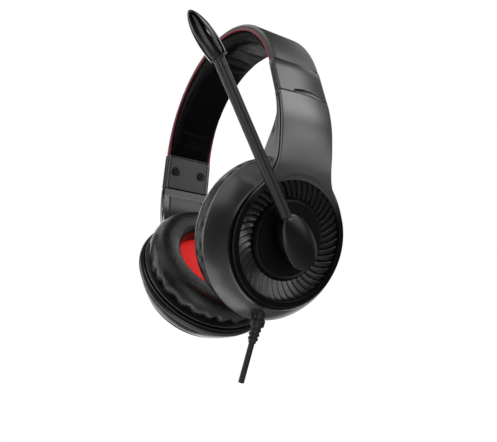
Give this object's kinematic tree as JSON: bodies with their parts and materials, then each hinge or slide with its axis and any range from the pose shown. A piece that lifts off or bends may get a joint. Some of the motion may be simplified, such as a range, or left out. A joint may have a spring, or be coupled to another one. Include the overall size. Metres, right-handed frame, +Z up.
{
  "type": "gaming headset",
  "caption": "Over-ear headset: padded arch headband with sliding arms, leaning round cups with finned faces and soft ear pads, and a boom microphone that swings about the left cup.",
  "frame": {"origin": "middle of the headband's inner face at the crown, where a head or a stand hook touches", "axes": "+Z up; the wearer looks along -Y; +X is the wearer's left, the microphone side"},
  "size_m": [0.1931, 0.1416, 0.2432],
  "materials": {
    "headband_cover": "soft matte",
    "piping": "satin",
    "leatherette": "fine grain",
    "steel": "brushed",
    "shell": "satin",
    "inner_trim": "satin",
    "screws": "black",
    "fins": "satin",
    "hub": "satin",
    "driver_plastic": "matte",
    "driver_cone": "satin film",
    "speaker_cloth": "woven",
    "boom": "satin",
    "mic_capsule": "gloss",
    "aluminium": "satin",
    "rubber": "matte"
  },
  "bodies": {
    "headband": {"headband_cover": "headband_cover", "headband_piping": "piping", "head_cushion": "leatherette", "spring_band": "steel", "sleeve_shell_left": "shell", "sleeve_plate_left": "inner_trim", "sleeve_screws_left": "screws", "sleeve_shell_right": "shell", "sleeve_plate_right": "inner_trim", "sleeve_screws_right": "screws"},
    "left_cup": {"slider_bar_left": "steel", "cup_face_left": "shell", "cup_housing_left": "shell", "arm_cover_left": "inner_trim", "fin_insert_left": "fins", "hub_disc_left": "hub", "baffle_left": "inner_trim", "driver_frame_left": "driver_plastic", "driver_magnet_left": "steel", "driver_cone_left": "driver_cone", "speaker_cloth_left": "speaker_cloth", "pad_ring_left": "inner_trim", "cup_screws_left": "screws", "ear_pad_left": "leatherette", "mic_washer": "steel", "cable_boot": "rubber", "cable_stub": "rubber"},
    "right_cup": {"slider_bar_right": "steel", "cup_face_right": "shell", "cup_housing_right": "shell", "arm_cover_right": "inner_trim", "fin_insert_right": "fins", "hub_disc_right": "hub", "baffle_right": "inner_trim", "driver_frame_right": "driver_plastic", "driver_magnet_right": "steel", "driver_cone_right": "driver_cone", "speaker_cloth_right": "speaker_cloth", "pad_ring_right": "inner_trim", "cup_screws_right": "screws", "ear_pad_right": "leatherette"},
    "microphone": {"mic_boss": "shell", "mic_shaft": "steel", "mic_clip": "steel", "mic_boom": "boom", "mic_collar": "boom", "mic_capsule": "mic_capsule", "mic_element": "aluminium"}
  },
  "joints": [
    {"name": "slider_left", "type": "slide", "parent": "headband", "child": "left_cup", "axis": [0.1736, 0, -0.9848], "range_m": [0, 0.022]},
    {"name": "slider_right", "type": "slide", "parent": "headband", "child": "right_cup", "axis": [-0.1736, 0, -0.9848], "range_m": [0, 0.022]},
    {"name": "mic_swing", "type": "hinge", "parent": "left_cup", "child": "microphone", "pos_m": [0.05547, 0, -0.15876], "axis": [0.8949, 0, -0.4462], "range_deg": [-40, 90]}
  ]
}
